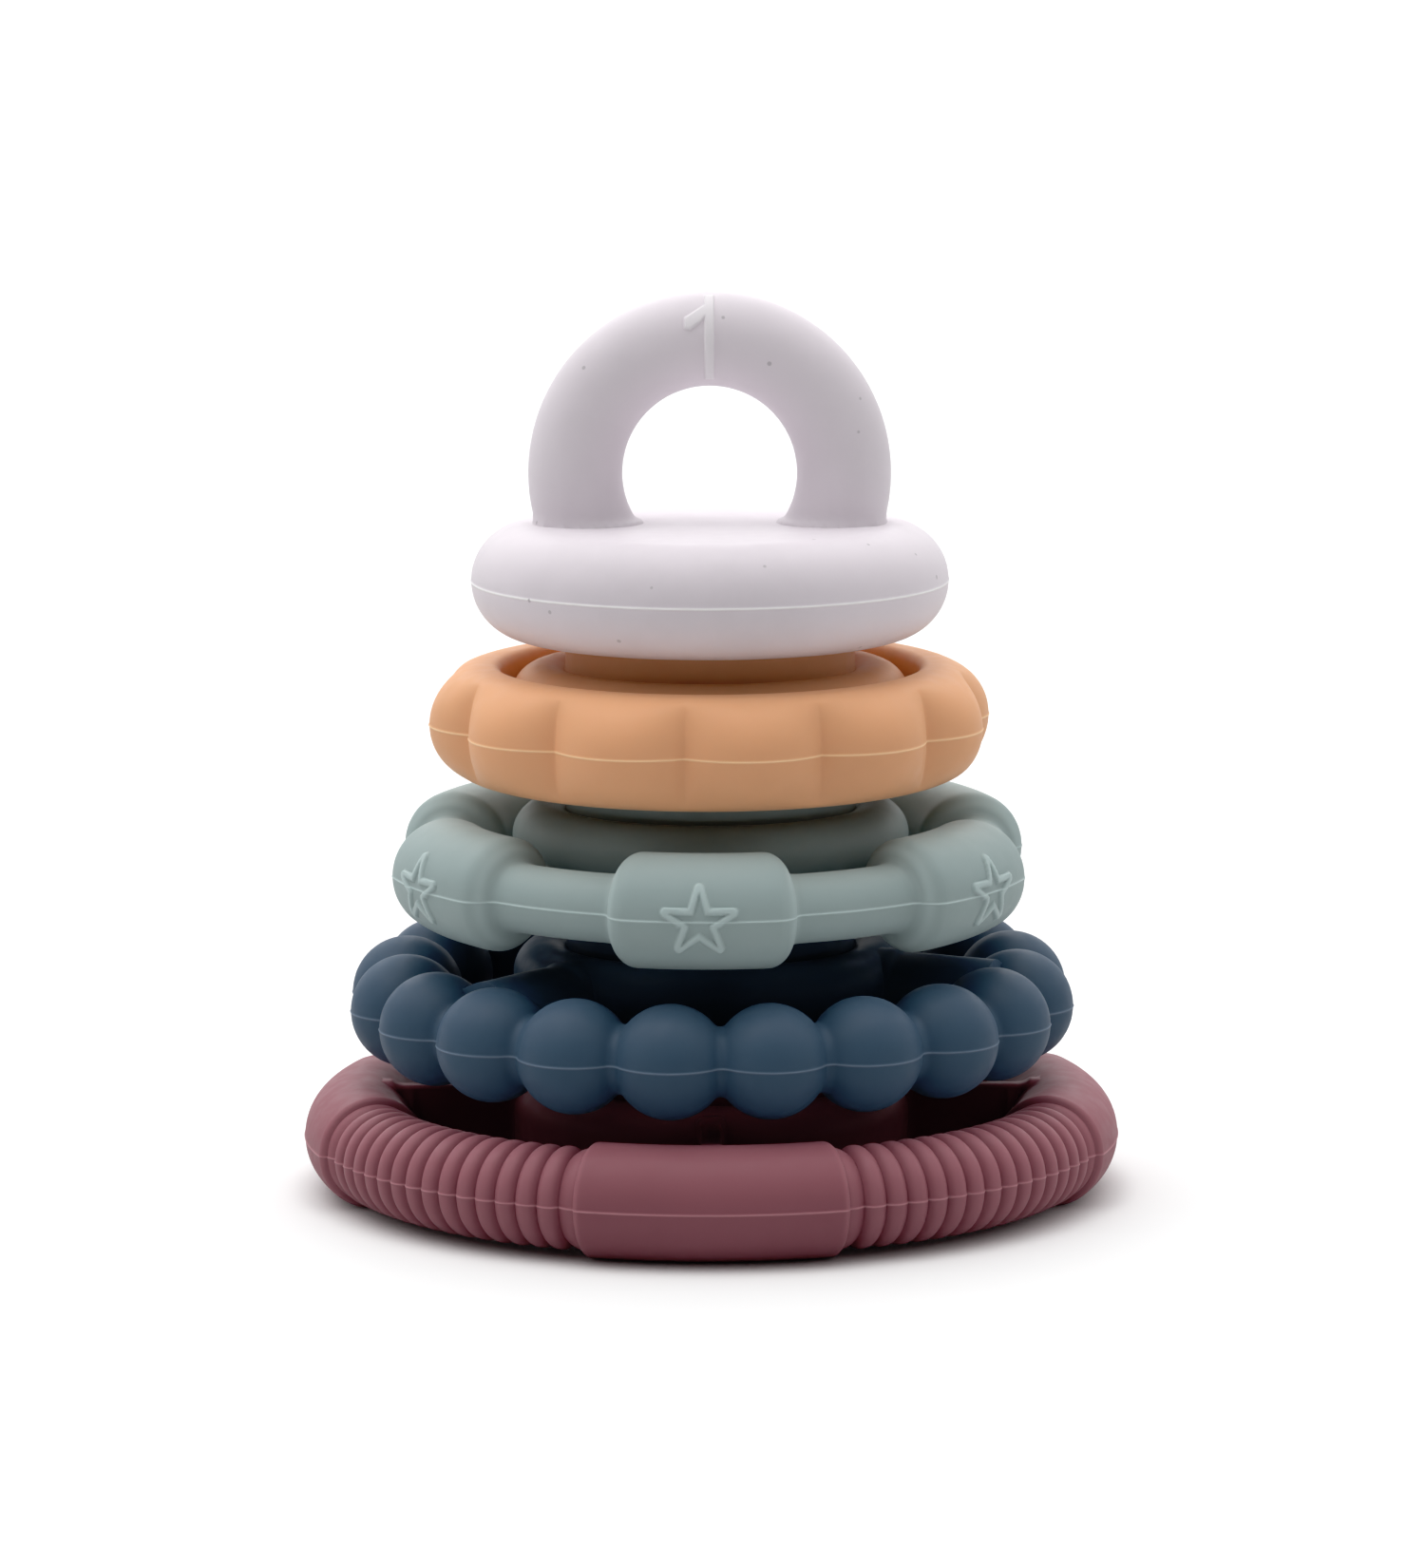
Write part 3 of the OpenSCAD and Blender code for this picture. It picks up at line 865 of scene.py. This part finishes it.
def silicone(name, colour, specks):
    """Matt moulded silicone: slightly uneven, with a painted highlight on edges and ridges,
    fine-grained and soft.
    """
    shade, light = lit(colour, SHADE), crest_colour(colour)
    material = bpy.data.materials.new(name)
    material.use_nodes = True
    nodes, links = material.node_tree.nodes, material.node_tree.links
    nodes.clear()

    def node(kind, **values):
        made = nodes.new(kind)
        for key, value in values.items():
            setattr(made, key, value)
        return made

    def mixed(factor, a, b):
        mix = node("ShaderNodeMix", data_type="RGBA")
        links.new(factor, mix.inputs[0])
        for value, socket in ((a, mix.inputs[6]), (b, mix.inputs[7])):
            if isinstance(value, tuple):
                socket.default_value = (*value, 1)
            else:
                links.new(value, socket)
        return mix.outputs[2]

    def ranged(value, low, high, to_low, to_high):
        rng = node("ShaderNodeMapRange", interpolation_type="SMOOTHSTEP")
        links.new(value, rng.inputs["Value"])
        limits = {"From Min": low, "From Max": high, "To Min": to_low, "To Max": to_high}
        for key, number in limits.items():
            rng.inputs[key].default_value = number
        return rng.outputs["Result"]

    place = node("ShaderNodeTexCoord").outputs["Object"]

    def noise(scale, detail):
        made = node("ShaderNodeTexNoise")
        made.inputs["Scale"].default_value = scale
        made.inputs["Detail"].default_value = detail
        links.new(place, made.inputs["Vector"])
        return made.outputs["Fac"]

    def bump(height, strength, depth):
        made = node("ShaderNodeBump")
        made.inputs["Strength"].default_value = strength
        made.inputs["Distance"].default_value = depth
        links.new(height, made.inputs["Height"])
        return made

    cloud = ranged(noise(CLOUD_SCALE, 3), 0.35, 0.65, 0, 1)
    tint = mixed(cloud, shade, colour)
    mottle = ranged(noise(MOTTLE_SCALE, 4), 0.3, 0.7, 0, MOTTLE)
    tint = mixed(mottle, tint, colour)
    # Painted highlight: mixes in the paler colour by each point's crest value
    crest = node("ShaderNodeAttribute", attribute_name="crest", attribute_type="GEOMETRY")
    tint = mixed(crest.outputs["Fac"], tint, light)
    if specks:
        dots = node("ShaderNodeTexVoronoi")
        dots.inputs["Scale"].default_value = SPECK_SCALE
        links.new(place, dots.inputs["Vector"])
        near = ranged(dots.outputs["Distance"], SPECK_INNER, SPECK_OUTER, 1, 0)
        pick = node("ShaderNodeSeparateColor")
        links.new(dots.outputs["Color"], pick.inputs["Color"])
        few = ranged(pick.outputs["Red"], 1 - specks, 1 - specks + 0.01, 0, 1)
        both = node("ShaderNodeMath", operation="MULTIPLY")
        links.new(near, both.inputs[0])
        links.new(few, both.inputs[1])
        tint = mixed(both.outputs[0], tint, lit(colour, SPECK_SHADE))

    fine = bump(noise(GRAIN_SCALE, 2), GRAIN_STRENGTH, GRAIN_DEPTH)
    wave = bump(noise(RIPPLE_SCALE, 2), RIPPLE_STRENGTH, RIPPLE_DEPTH)
    links.new(fine.outputs["Normal"], wave.inputs["Normal"])

    shader = node("ShaderNodeBsdfPrincipled")
    links.new(tint, shader.inputs["Base Color"])
    shine = ranged(noise(SHINE_SCALE, 3), 0.3, 0.7, ROUGHNESS - 0.05, ROUGHNESS + 0.06)
    links.new(shine, shader.inputs["Roughness"])
    links.new(wave.outputs["Normal"], shader.inputs["Normal"])
    shader.inputs["IOR"].default_value = SILICONE_IOR
    shader.inputs["Specular IOR Level"].default_value = SPECULAR
    shader.inputs["Sheen Weight"].default_value = SHEEN
    shader.inputs["Sheen Roughness"].default_value = SHEEN_ROUGHNESS
    shader.inputs["Sheen Tint"].default_value = (*light, 1)
    shader.inputs["Subsurface Weight"].default_value = SOFTNESS
    shader.inputs["Subsurface Radius"].default_value = tuple(0.4 + 0.6 * c for c in light)
    shader.inputs["Subsurface Scale"].default_value = SOFT_DEPTH
    output = node("ShaderNodeOutputMaterial")
    links.new(shader.outputs["BSDF"], output.inputs["Surface"])
    return material


def place_piece(build, node, body, slot, colour, specks=0):
    """Builds a piece, gives it its material, hides its CAD node's mesh and ties the piece to its
    body.
    """
    piece = build()
    piece.data.materials.clear()
    piece.data.materials.append(silicone(slot, colour, specks))
    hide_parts(node)
    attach(piece, body)


place_piece(base_ring, "base_ring", "base", "rose_silicone", (0.285, 0.102, 0.126))
place_piece(bead_ring, "bead_ring", "bead", "slate_silicone", (0.052, 0.092, 0.145))
place_piece(star_ring, "star_ring", "star", "sage_silicone", (0.337, 0.42, 0.416))
place_piece(scallop_ring, "scallop_ring", "scallop", "tan_silicone", (0.81, 0.42, 0.222))
place_piece(top_handle, "top_handle", "top", "lilac_silicone", (0.765, 0.71, 0.755), specks=0.9)


# ---------------------------------------------------------------- stage

scene = bpy.context.scene

# Half the floor's side, in metres, and how white it is to the camera and to the light on the toy
FLOOR_HALF = 6.0
FLOOR_SEEN = 0.88
FLOOR_BOUNCE = 0.63
FLOOR_ROUGHNESS = 0.8
FLOOR_SPECULAR = 0.2

# How the film renders the darkest tones: light in, light shown
FILM_TOE = ((0.01, 0.0035), (0.02, 0.01), (0.04, 0.034), (0.07, 0.067))

# The studio light's strength from each side, at 0, 15, 35 and 60 degrees up, and from overhead
STUDIO_HEIGHTS = (0, 15, 35, 60, 90)
STUDIO_SIDES = {
    "back": (1.0, 1.5, 2.3, 1.3),
    "left": (0.3, 0.5, 1.0, 3.0),
    "front": (0.0, 0.0, 0.0, 0.6),
    "right": (0.3, 0.5, 1.0, 1.2),
}
STUDIO_OVERHEAD = 3.7
BACKDROP_SEEN = 1.05

# The camera: its lens and sensor, how far it sees and where it is, in metres, and its tilt
LENS = 159.2
SENSOR_W = 36
VIEW_END = 50
CAMERA_PLACE = (0.0003, -1.006, 0.2156)
CAMERA_DOWN = 8.8
CAMERA_ROLL = -0.15


def grey(value):
    """An opaque grey as a colour value."""
    return (value, value, value, 1)


def build_floor():
    """A plain pale floor, whiter to the camera than to the toy, like a whitened studio photo's."""
    mesh = bpy.data.meshes.new("floor")
    h = FLOOR_HALF
    mesh.from_pydata([(-h, -h, 0), (h, -h, 0), (h, h, 0), (-h, h, 0)], [], [(0, 1, 2, 3)])
    floor = bpy.data.objects.new("floor", mesh)
    scene.collection.objects.link(floor)
    material = bpy.data.materials.new("floor")
    material.use_nodes = True
    nodes, links = material.node_tree.nodes, material.node_tree.links
    shader = nodes["Principled BSDF"]
    colour = nodes.new("ShaderNodeMix")
    colour.data_type = "RGBA"
    seen = nodes.new("ShaderNodeLightPath")
    links.new(seen.outputs["Is Camera Ray"], colour.inputs[0])
    colour.inputs[6].default_value = grey(FLOOR_BOUNCE)
    colour.inputs[7].default_value = grey(FLOOR_SEEN)
    links.new(colour.outputs[2], shader.inputs["Base Color"])
    shader.inputs["Roughness"].default_value = FLOOR_ROUGHNESS
    shader.inputs["Specular IOR Level"].default_value = FLOOR_SPECULAR
    mesh.materials.append(material)


def set_film():
    """Plain display colours, with the darkest tones deepened a little."""
    scene.view_settings.view_transform = "Standard"
    scene.view_settings.use_curve_mapping = True
    tones = scene.view_settings.curve_mapping
    every_channel = tones.curves[3]
    for seen, shown in FILM_TOE:
        every_channel.points.new(seen, shown)
    for point in every_channel.points:
        point.handle_type = "VECTOR"
    tones.update()


def build_world():
    """A white studio: bright overhead, behind and from the upper left, dark near the camera."""
    world = bpy.data.worlds.new("studio")
    scene.world = world
    world.use_nodes = True
    nodes, links = world.node_tree.nodes, world.node_tree.links
    nodes.clear()

    def maths(operation, *values, clamp=False):
        made = nodes.new("ShaderNodeMath")
        made.operation = operation
        made.use_clamp = clamp
        for socket, value in zip(made.inputs, values):
            if isinstance(value, (int, float)):
                socket.default_value = value
            else:
                links.new(value, socket)
        return made.outputs[0]

    direction = nodes.new("ShaderNodeTexCoord")
    axes = nodes.new("ShaderNodeSeparateXYZ")
    links.new(direction.outputs["Generated"], axes.inputs[0])
    x, y, z = axes.outputs
    minus_x, minus_y = maths("MULTIPLY", x, -1.0), maths("MULTIPLY", y, -1.0)
    height = maths("MULTIPLY", maths("ARCSINE", z), 2 / math.pi, clamp=True)
    towards = {"back": (x, y), "left": (y, minus_x), "front": (x, minus_y), "right": (y, x)}
    total = 0.0
    for side, strengths in STUDIO_SIDES.items():
        by_height = nodes.new("ShaderNodeValToRGB")
        stops = by_height.color_ramp.elements
        while len(stops) < len(STUDIO_HEIGHTS):
            stops.new(0.5)
        for stop, up, strength in zip(stops, STUDIO_HEIGHTS, (*strengths, STUDIO_OVERHEAD)):
            stop.position = up / 90
            stop.color = grey(strength / STUDIO_OVERHEAD)
        links.new(height, by_height.inputs["Fac"])
        turn = maths("ABSOLUTE", maths("ARCTAN2", *towards[side]))
        facing = maths("SUBTRACT", 1.0, maths("MULTIPLY", turn, 2 / math.pi), clamp=True)
        total = maths("MULTIPLY_ADD", by_height.outputs["Color"], facing, total)
    seen = nodes.new("ShaderNodeLightPath")
    strength = nodes.new("ShaderNodeMix")
    strength.data_type = "FLOAT"
    links.new(seen.outputs["Is Camera Ray"], strength.inputs[0])
    links.new(maths("MULTIPLY", total, STUDIO_OVERHEAD), strength.inputs[2])
    strength.inputs[3].default_value = BACKDROP_SEEN
    background = nodes.new("ShaderNodeBackground")
    links.new(strength.outputs[0], background.inputs["Strength"])
    background.inputs["Color"].default_value = grey(1)
    output = nodes.new("ShaderNodeOutputWorld")
    links.new(background.outputs["Background"], output.inputs["Surface"])


def build_camera():
    """A long lens nearly level with the toy, far enough that its rings look only slightly open."""
    data = bpy.data.cameras.new("camera")
    data.lens = LENS
    data.sensor_width = SENSOR_W
    data.clip_end = VIEW_END
    camera = bpy.data.objects.new("camera", data)
    scene.collection.objects.link(camera)
    camera.location = CAMERA_PLACE
    tilt = Matrix.Rotation(math.radians(90 - CAMERA_DOWN), 4, "X")
    roll = Matrix.Rotation(math.radians(CAMERA_ROLL), 4, "Z")
    camera.rotation_euler = (tilt @ roll).to_euler()
    scene.camera = camera


build_floor()
set_film()
build_world()
build_camera()
